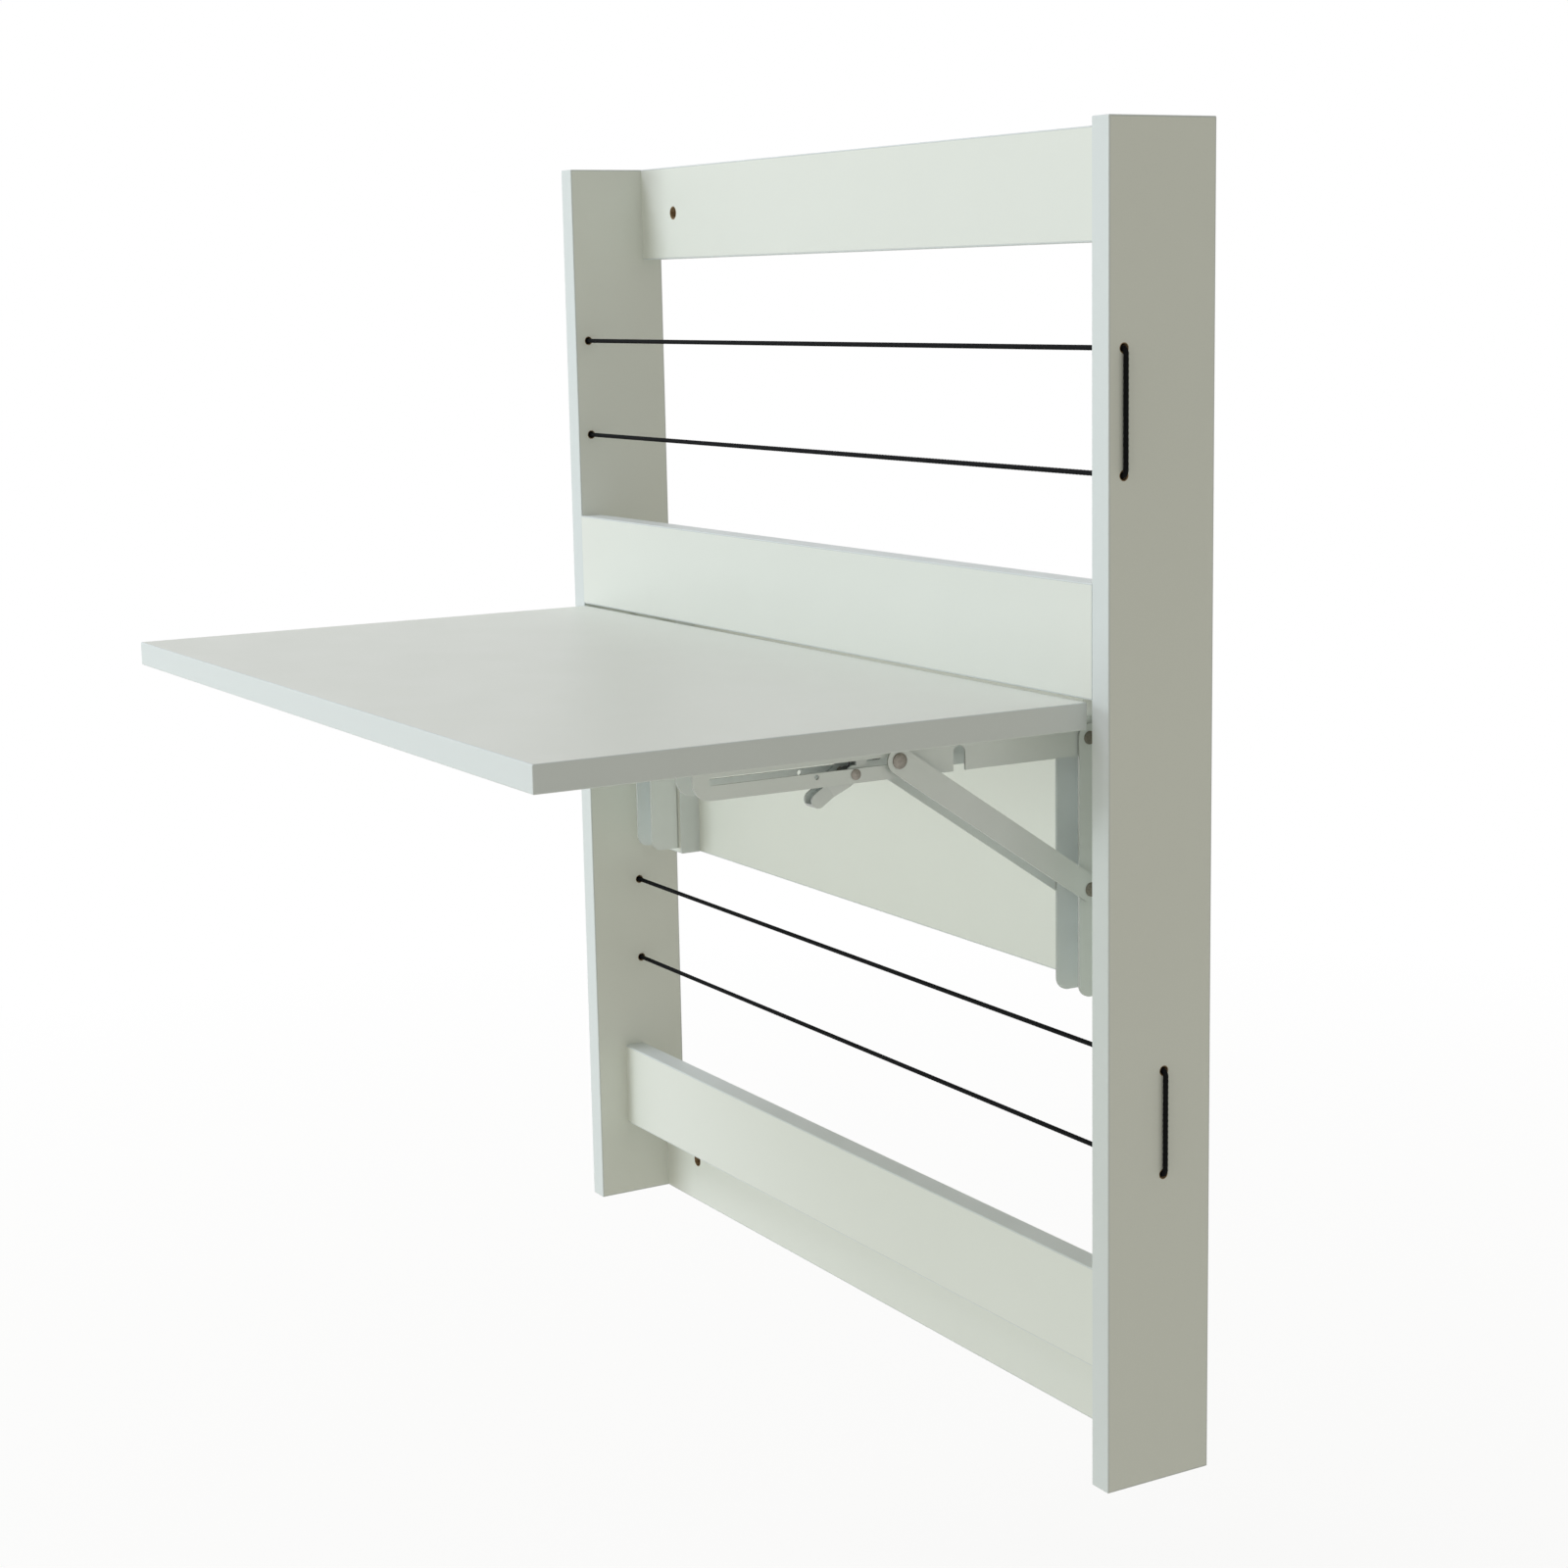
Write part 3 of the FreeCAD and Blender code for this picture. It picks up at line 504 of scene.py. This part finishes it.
def chips(tree):
    """Cells of the pressed core, each with a random shade."""
    made = tree.nodes.new("ShaderNodeTexVoronoi")
    plug(tree, made.inputs["Vector"], place_of(tree))
    made.inputs["Scale"].default_value = 1.0 / chip_size
    return made.outputs


def drilled(tree, point, name):
    """1 where a hole has bared the core of a board, 0 elsewhere."""
    bare = 0.0
    for hole in holes_in(name):
        bare = calc(tree, "MAXIMUM", bare, in_hole(tree, point, *hole))
    return bare


print("core chips, mm:", 1000 * chip_size)

# %% Board finish
foil_gloss = (0.40, 0.48)               # roughness, from patch to patch
grain_depth = 0.000018


def board_finish(name, banded):
    """The finish of one board; banded lists the axes across which its edges carry a band."""
    low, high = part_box(name)
    material = bpy.data.materials.new("board_" + name)
    material.use_nodes = True
    tree = material.node_tree
    shader = tree.nodes["Principled BSDF"]
    point = split(tree, place_of(tree))
    bare = drilled(tree, point, name)
    cells = chips(tree)
    grain = noise(tree, place_of(tree), foil_grain)
    surface = unbroken_surface(tree, grain, from_edge(tree, point, low, high, banded),
                               looks_sideways(tree, thin_side(low, high)))
    core = mixed(tree, cells["Color"], core_brown, core_straw)
    plug(tree, shader.inputs["Base Color"], mixed(tree, bare, surface, core))
    gloss = patches(tree, foil_cloud / 4, *foil_gloss)
    plug(tree, shader.inputs["Roughness"],
         calc(tree, "MAXIMUM", gloss, calc(tree, "MULTIPLY", bare, core_roughness)))
    pits = calc(tree, "MULTIPLY", cells["Distance"], calc(tree, "MULTIPLY", bare, chip_depth))
    height = calc(tree, "ADD", calc(tree, "MULTIPLY", grain, grain_depth), pits)
    plug(tree, shader.inputs["Normal"], relief(tree, height, 1.0))  # the height is in metres
    return material


print("relief of the grain, mm:", round(1000 * grain_depth, 3))

# %% Dress the boards
boards = {
    "left_upright": (1, 2), "right_upright": (1, 2), "leaf": (0, 1),
    "top_rail": (2,), "middle_rail": (2,), "back_panel": (2,), "front_low_rail": (2,),
    "bottom_rail": (2,), "left_batten": (0, 2), "right_batten": (0, 2),
}
for name, banded in boards.items():
    dress(board_finish(name, banded), name)
print("boards finished:", len(boards))

# %% [markdown]
# ## Powder coat on the brackets
# The folding brackets are pressed sheet steel, sprayed with white powder and baked. Such paint
# flows a little before it sets, which leaves a faint orange-peel relief, and it is a cooler
# white than the boards. The sheared edges of the sheet are given a darker grey. A flange looks
# sideways, along X, and its sheared edge doesn't, and neither does the web that joins two
# flanges. So the finish asks two things of a point: whether its surface looks away from X, and
# whether it lies off the web. A thin clear coat over a satin base gives the soft highlight.

# %% Powder coat
powder_white = (0.790, 0.840, 0.830)
sheared_grey = (0.400, 0.425, 0.405)
powder_shade = 0.97                     # its darker clouds, as a share of that colour
powder_cloud = 0.03                     # sizes of the patches, in metres
powder_gloss_patch = 0.004
powder_peel = 0.0011
powder_gloss = (0.32, 0.42)             # roughness, from patch to patch
powder_depth = 0.00001
web_skin = 0.0017                       # the sheet's thickness and a little more


def sheared_edge(tree, name, web_axis):
    """1 on the sheet's sheared edges; the web lies at the high end of web_axis."""
    edge = looks_sideways(tree, 0)
    if web_axis is None:
        return edge
    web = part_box(name)[1][web_axis] - web_skin
    beyond = calc(tree, "LESS_THAN", split(tree, place_of(tree))[web_axis], web)
    return calc(tree, "MULTIPLY", edge, beyond)


def powder_coat(name, web_axis):
    """The paint of one pressed piece."""
    def colour(tree):
        paint = mottled(tree, powder_white, powder_shade, powder_cloud)
        return mixed(tree, sheared_edge(tree, name, web_axis), paint, sheared_grey)

    return finish(
        "powder_" + name, colour,
        lambda tree: patches(tree, powder_gloss_patch, *powder_gloss),
        lambda tree: relief(tree, noise(tree, place_of(tree), powder_peel, detail=0.0), powder_depth),
        Coat_Weight=0.25, Coat_Roughness=0.2,
    )


sides = ("left", "right")
webs = {"leg_channel": 1, "arm_channel": 2, "strut_bars": None, "release_lever": 2}
for side in sides:
    for piece, web_axis in webs.items():
        dress(powder_coat(side + "_" + piece, web_axis), side + "_" + piece)
print("powder coated:", len(sides) * len(webs), "pieces")

# %% [markdown]
# ## Bare metals
# Four metals show or hide in the brackets and boards: rivets of dark, dull steel, screws with a
# bright zinc coat, spring wire drawn through a die and cams cast from zinc. They are the same
# network with other numbers: a base colour that wanders a little, a roughness that follows
# scuffs, and a relief of some size. A short table with one row for each makes them all.

# %% Metals
metal_shade = 0.72                      # the dulled patches, as a share of the colour
metals = {
    #                colour                 clouds  roughness     relief  depth
    "dull_rivet":   ((0.330, 0.305, 0.262), 0.0015, (0.45, 0.62), 0.0004, 0.00001),
    "zinc_screw":   ((0.560, 0.570, 0.575), 0.0020, (0.22, 0.40), 0.0005, 0.000008),
    "spring_wire":  ((0.170, 0.170, 0.175), 0.0010, (0.25, 0.38), 0.0003, 0.000006),
    "cast_zinc":    ((0.360, 0.365, 0.370), 0.0030, (0.45, 0.65), 0.0008, 0.00004),
}


def metal_finish(name, colour, cloud, rough, grain, depth):
    """A bare metal from one row of the table."""
    return finish(
        name,
        lambda tree: mottled(tree, colour, metal_shade, cloud),
        lambda tree: patches(tree, cloud / 2, *rough),
        lambda tree: relief(tree, noise(tree, place_of(tree), grain), depth),
        Metallic=1.0,
    )


metal = {name: metal_finish(name, *numbers) for name, numbers in metals.items()}
dress(metal["dull_rivet"], "hinge_pins", "strut_pivot_pins", "lever_rivets", "left_slot_rivets",
      "right_slot_rivets")
dress(metal["zinc_screw"], "leg_screws", "arm_screws", "batten_screws", "cam_bolts")
dress(metal["spring_wire"], "left_lever_spring", "right_lever_spring")
dress(metal["cast_zinc"], "cam_discs")
print("metals:", ", ".join(metal))

# %% [markdown]
# ## Beech dowels
# The dowels sit inside the joints and hold the rails in line. Beech has a straight grain with
# short dark flecks, so the noise is stretched tenfold along the dowel, which lies along X.

# %% Dowels
beech_pale = (0.56, 0.40, 0.24)
beech_dark = (0.36, 0.22, 0.11)
beech_draw = (0.1, 1.0, 1.0)            # shrinks the place tenfold along X
fleck_width, groove_width = 0.0006, 0.0004
fleck_low, fleck_high = 0.35, 0.7
groove_depth = 0.00004
beech_gloss_patch = 0.001
beech_gloss = (0.6, 0.75)               # roughness, from patch to patch


def beech_grain(tree, width, detail=2.0):
    """Noise in fibres of this width, drawn out along the dowel."""
    drawn = tree.nodes.new("ShaderNodeMapping")
    plug(tree, drawn.inputs["Vector"], place_of(tree))
    drawn.inputs["Scale"].default_value = beech_draw
    return noise(tree, drawn.outputs[0], width, detail)


def beech_colour(tree):
    """Pale wood with darker flecks."""
    flecks = spread(tree, beech_grain(tree, fleck_width, detail=4.0), fleck_low, fleck_high)
    return mixed(tree, flecks, beech_pale, beech_dark)


beech = finish(
    "beech", beech_colour,
    lambda tree: patches(tree, beech_gloss_patch, *beech_gloss),
    lambda tree: relief(tree, beech_grain(tree, groove_width), groove_depth),
)
dress(beech, "rail_dowels")
print("dowels finished")

# %% [markdown]
# ## The route of an elastic cord
# Each cord starts at a knot on the left upright, runs across through both uprights, turns down
# the outside of the right one and comes back below. It is stretched, so it is straight wherever
# nothing bends it. A smooth spline needs only eight points for that: two at the knots and three
# round each turn, the middle one at the corner and its neighbours a bend's width away. Between
# points in line, a spline of this kind runs straight.

# %% Cord route
bend_reach = 0.0068                     # from a corner to the points beside it
spline_steps = 48


def cord_route(name):
    """The eight points of a cord's route, in the order in which it was threaded."""
    low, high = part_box(name)
    y, upper, lower = cord_levels(name)
    knot, outer = low.x, high.x - cord_radius
    return [
        (knot, y, upper), (outer - bend_reach, y, upper), (outer, y, upper),
        (outer, y, upper - bend_reach), (outer, y, lower + bend_reach),
        (outer, y, lower), (outer - bend_reach, y, lower), (knot, y, lower),
    ]


def spline_points(name, route):
    """Points along the smooth line that a route describes."""
    curve = bpy.data.curves.new(name, "CURVE")
    curve.dimensions = "3D"
    curve.resolution_u = spline_steps
    line = curve.splines.new("NURBS")
    line.points.add(len(route) - 1)
    for point, place in zip(line.points, route):
        point.co = (*place, 1.0)
    line.order_u = 3
    line.use_endpoint_u = True
    holder = bpy.data.objects.new(name, curve)
    bpy.context.scene.collection.objects.link(holder)
    depsgraph = bpy.context.evaluated_depsgraph_get()
    mesh = bpy.data.meshes.new_from_object(holder.evaluated_get(depsgraph))
    points = [vertex.co.copy() for vertex in mesh.vertices]
    bpy.data.objects.remove(holder)
    bpy.data.meshes.remove(mesh)
    return points


def length_of(points):
    """Length of a line through points, in metres."""
    return sum((after - before).length for before, after in zip(points, points[1:]))


cord_lines = {name: spline_points(name + "_line", cord_route(name)) for name in cord_names}
for name, line in cord_lines.items():
    print(name, "is", round(1000 * length_of(line), 1), "mm long")

# %% [markdown]
# ## Even steps along a line
# The spline's points lie close together in the bends and far apart on the straights, but a
# braid needs rings at even distances. So the line is walked once from its start, and a point is
# set down at every step, together with the distance walked so far.

# %% Even steps
def resample(points, step):
    """The same line with points at even steps, and the distance of each from the start."""
    total = length_of(points)
    count = max(2, round(total / step))
    places, walked, index = [], 0.0, 0
    for number in range(count + 1):
        wanted = total * number / count
        piece = (points[index + 1] - points[index]).length
        while walked + piece < wanted and index < len(points) - 2:
            walked += piece
            index += 1
            piece = (points[index + 1] - points[index]).length
        share = min(1.0, (wanted - walked) / piece) if piece > 0 else 0.0
        places.append((points[index].lerp(points[index + 1], share), wanted))
    return places


print("100 mm steps on the upper cord:", len(resample(cord_lines["upper_cord"], 0.1)) - 1)

# %% [markdown]
# ## A braided sleeve as real relief
# The cord is rubber inside a braided sleeve. Two families of yarn wind round it in opposite
# senses and cross in a lattice of small diamonds, which a product of two cosines describes: one
# round the cord, one along it. A tube is swept along the line with a ring of points at every
# quarter of a diamond, and each point moves in or out by that product. Relief in the mesh shows
# in the outline, where a bump would leave the edge smooth.

# %% Sweep a tube
ring_points = 24
diamonds_round = 6
diamond_length = 0.0034
braid_relief = 0.055                    # share of the radius
cord_step = diamond_length / 4


def braid(along, angle, radius):
    """Radius of a braided cord at a place along it and an angle round it."""
    lattice = math.cos(diamonds_round * angle) * math.cos(2 * math.pi * along / diamond_length)
    return radius * (1 - braid_relief + braid_relief * lattice)


def sweep(points, radius_at, step):
    """Vertices, faces and UVs of a tube along a line; radius_at(distance, angle) is its radius."""
    places = resample(points, step)
    centres = [place for place, _ in places]
    vertices, faces, turns = [], [], []
    side = None
    for index, (place, walked) in enumerate(places):
        ahead, behind = centres[min(index + 1, len(centres) - 1)], centres[max(index - 1, 0)]
        tangent = (ahead - behind).normalized()
        side = tangent.orthogonal() if side is None else side
        side = (side - tangent * side.dot(tangent)).normalized()
        other = tangent.cross(side)
        for number in range(ring_points):
            angle = 2 * math.pi * number / ring_points
            out = side * math.cos(angle) + other * math.sin(angle)
            vertices.append(place + out * radius_at(walked, angle))
    for ring in range(len(places) - 1):
        for number in range(ring_points):
            following = (number + 1) % ring_points
            here, beyond = ring * ring_points, (ring + 1) * ring_points
            faces.append((here + number, here + following, beyond + following, beyond + number))
            turns.append((number, places[ring][1], places[ring + 1][1]))
    first = list(range(ring_points))
    faces.append(first[::-1])
    faces.append([len(vertices) - ring_points + number for number in first])
    return vertices, faces, turns


print("a cord has a ring every", round(1000 * cord_step, 2), "mm")

# %% [markdown]
# ## From tubes to a piece
# The sleeve's yarn has to follow the cord round its bends, so the tube gets a flat map of
# itself, with one direction round the cord and the other along it, counted in diamonds. The map
# is written face by face while the tubes are joined into one mesh, which is surer than an
# unwrapping tool, because it knows which way the cord runs.

# %% Tubes to a piece
def tube_piece(name, parts):
    """A smooth mesh piece from swept tubes, with a map that the threads follow."""
    vertices, faces, corners = [], [], []
    for part_vertices, part_faces, turns in parts:
        start = len(vertices)
        vertices += part_vertices
        faces += [[start + index for index in face] for face in part_faces]
        for number, near, far in turns:
            left, right = number / ring_points, (number + 1) / ring_points
            corners += [(left, near), (right, near), (right, far), (left, far)]
        corners += [(0.0, 0.0)] * (2 * ring_points)
    mesh = bpy.data.meshes.new(name)
    mesh.from_pydata(vertices, [], faces)
    layer = mesh.uv_layers.new(name="sleeve")
    for slot, (turn, along) in zip(layer.data, corners):
        slot.uv = (turn, along / diamond_length)
    mesh.polygons.foreach_set("use_smooth", [True] * len(mesh.polygons))
    piece = bpy.data.objects.new(name, mesh)
    bpy.context.scene.collection.objects.link(piece)
    return piece


print("one map unit along the cord, mm:", 1000 * diamond_length)

# %% [markdown]
# ## Yarn on the sleeve
# Relief alone would look like rubber. The sleeve is spun thread, so the finish draws thin
# slanting threads in the tube's map, in both directions, and dulls the black, because spun yarn
# hardly shines.

# %% Sleeve finish
threads_per_diamond = 4
thread_depth = 0.00005
sleeve_gloss_patch = 0.002
sleeve_gloss = (0.62, 0.78)             # roughness, from patch to patch


def thread_pattern(tree):
    """Thin slanting threads in both directions, from 0 to 1."""
    turn, along, _ = split(tree, tree.nodes.new("ShaderNodeTexCoord").outputs["UV"])
    waves = []
    for sense in (1, -1):
        slant = calc(tree, "ADD", calc(tree, "MULTIPLY", turn, sense * diamonds_round), along)
        wave = calc(tree, "SINE", calc(tree, "MULTIPLY", slant, threads_per_diamond * math.pi))
        waves.append(calc(tree, "ABSOLUTE", wave))
    return calc(tree, "MAXIMUM", *waves)


thread_black = (0.0035, 0.0037, 0.0042)
thread_worn = (0.0090, 0.0095, 0.0105)
sleeve = finish(
    "braided_sleeve",
    lambda tree: mixed(tree, thread_pattern(tree), thread_black, thread_worn),
    lambda tree: patches(tree, sleeve_gloss_patch, *sleeve_gloss),
    lambda tree: relief(tree, thread_pattern(tree), thread_depth),
    Specular_IOR_Level=0.05,
)
print("threads across a diamond:", threads_per_diamond)

# %% [markdown]
# ## The two cords
# Each cord is one tube, swept along its own line. It rides on the frame and takes the place of
# the construction model's plain tube. Both of its ends are tied, and it is stretched between
# them, so nothing of it hangs free.

# %% Cord pieces
for name, line in cord_lines.items():
    tube = sweep(line, lambda along, angle: braid(along, angle, cord_radius), cord_step)
    piece = tube_piece(name + "_braided", [tube])
    piece.data.materials.append(sleeve)
    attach(piece, "frame")
    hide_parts(name)
    print(piece.name, "has", len(piece.data.vertices), "points")

# %% [markdown]
# ## Stopper knots
# On the outside of the left upright each end is tied in a stopper knot, so that the stretched
# cord can't slip back through its hole. The cord comes out of the hole, turns back and winds
# round itself nearly twice before its end hangs down. The route is a short straight, a helix
# from a formula and a tail, swept with the same tube as the cord. The turns are pulled tight, so
# there the cord is thinner.

# %% Knot route
knot_turns = 1.75
knot_points_per_turn = 8
wrap_radius = 0.0028                    # middle of the wound cord from the knot's axis
tight_radius = 0.0014                   # of the cord where it is pulled tight
knot_depth = 0.0068
start_inside = 0.0010                   # the line starts this deep in the hole
straight_out = 0.0020                   # and comes this far straight out of it
turning_room = 0.0010                   # from its last straight point to the outermost turn
board_clearance = 0.0002                # between the innermost turn and the board
tail_length = 0.0120
tail_start = 0.0030                     # how far the tail drops to its first point
tail_drift = ((-0.0006, 0.0004), (-0.0010, 0.0006), (-0.0012, 0.0003))  # of its points, X and Y
seal_length = 0.0012                    # melted tip of the tail


def knot_route(hole, start_angle):
    """The line of a knot: out of the hole, wound back round itself and down."""
    far = hole.x - knot_depth + tight_radius
    near = hole.x - tight_radius - board_clearance
    along_hole = (hole.x + start_inside, hole.x - straight_out, far + turning_room)
    route = [Vector((across, hole.y, hole.z)) for across in along_hole]
    count = round(knot_turns * knot_points_per_turn)
    for step in range(count + 1):
        angle = start_angle + 2 * math.pi * knot_turns * step / count
        across = far + (near - far) * step / count
        route.append(Vector((across, hole.y + wrap_radius * math.cos(angle),
                             hole.z + wrap_radius * math.sin(angle))))
    last = route[-1]
    levels = (last.z - tail_start, hole.z - tail_length + seal_length, hole.z - tail_length)
    for (out, along), level in zip(tail_drift, levels):
        route.append(Vector((last.x + out, last.y + along, level)))
    return route


print("points wound round a knot:", round(knot_turns * knot_points_per_turn) + 1)

# %% Knot pieces
knot_step = diamond_length / 6
loose_length = 0.0100                   # of the cord's end, which isn't wound
swelling_length = 0.0030                # over which the cord regains its thickness
tip_bluntness = 0.02                    # the tip closes to this share of its section
start_angles = (math.radians(190), math.radians(165))


def knot_tube(name, hole, start_angle):
    """The swept tube of one knot, thin where it is wound and closed at its melted tip."""
    line = spline_points(name, knot_route(hole, start_angle))
    total = length_of(line)

    def radius_at(along, angle):
        wound = min(1.0, max(0.0, (total - loose_length - along) / swelling_length))
        radius = cord_radius + (tight_radius - cord_radius) * wound
        tip = max(0.0, (along - total + seal_length) / seal_length)
        return braid(along, angle, radius) * math.sqrt(max(tip_bluntness, 1 - tip * tip))

    return sweep(line, radius_at, knot_step)


for cord in cord_names:
    y, *levels = cord_levels(cord)
    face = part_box("left_upright")[0].x
    tubes = [knot_tube(cord + "_knot", Vector((face, y, level)), start_angle)
             for level, start_angle in zip(levels, start_angles)]
    piece = tube_piece(cord + "_stopper_knots", tubes)
    piece.data.materials.append(sleeve)
    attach(piece, "frame")
    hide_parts(cord + "_knots")
    low, high = (Vector(corner) for corner in (piece.bound_box[0], piece.bound_box[6]))
    print(piece.name, "is", [round(1000 * side, 1) for side in high - low], "mm in all")

# %% [markdown]
# ## The size of the dressed table
# The dressed table has to fill the same box as the construction model. The last cell prints
# by how much each side of the box has grown.

# %% Sizes
visual_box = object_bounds()
before, after = [*cad_box[0], *cad_box[1]], [*visual_box[0], *visual_box[1]]
print("grown by, mm:", [round(1000 * (new - old), 2) for old, new in zip(before, after)])
